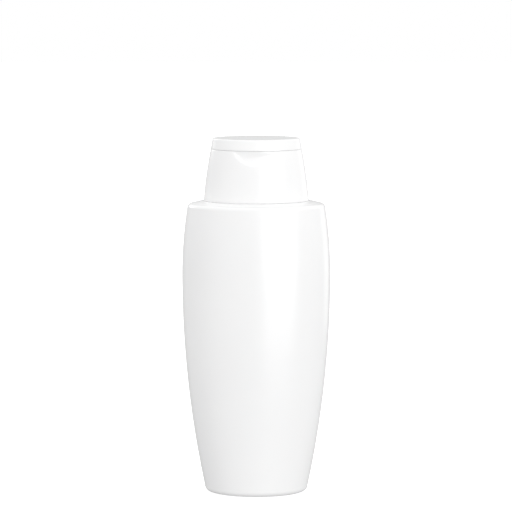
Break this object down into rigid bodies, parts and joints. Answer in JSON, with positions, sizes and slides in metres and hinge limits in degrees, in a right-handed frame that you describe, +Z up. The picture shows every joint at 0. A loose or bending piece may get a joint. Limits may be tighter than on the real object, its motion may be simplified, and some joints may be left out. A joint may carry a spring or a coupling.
{
  "type": "shampoo bottle",
  "caption": "Oval squeeze bottle for shampoo with waisted shoulders and a push-fit flip-top cap that hinges open at the back.",
  "frame": {"origin": "centre of the flat ring that the bottle stands on, at table level", "axes": "+X along the bottle's width, -Y towards its front, where the thumb scoop is, +Z up along its height"},
  "size_m": [0.0698, 0.0428, 0.1682],
  "materials": {
    "bottle_hdpe": "satin",
    "cap_pp": "satin"
  },
  "bodies": {
    "bottle_and_cap": {"bottle": "bottle_hdpe", "cap_body": "cap_pp", "hinge_film_left": "cap_pp", "hinge_film_right": "cap_pp", "snap_strap": "cap_pp"},
    "lid": {"lid": "cap_pp"}
  },
  "joints": [
    {"name": "lid_hinge", "type": "hinge", "parent": "bottle_and_cap", "child": "lid", "pos_m": [0, 0.01299, 0.16305], "axis": [-1, 0, 0], "range_deg": [0, 150], "deforming": ["hinge_film_left", "hinge_film_right", "snap_strap"]}
  ]
}
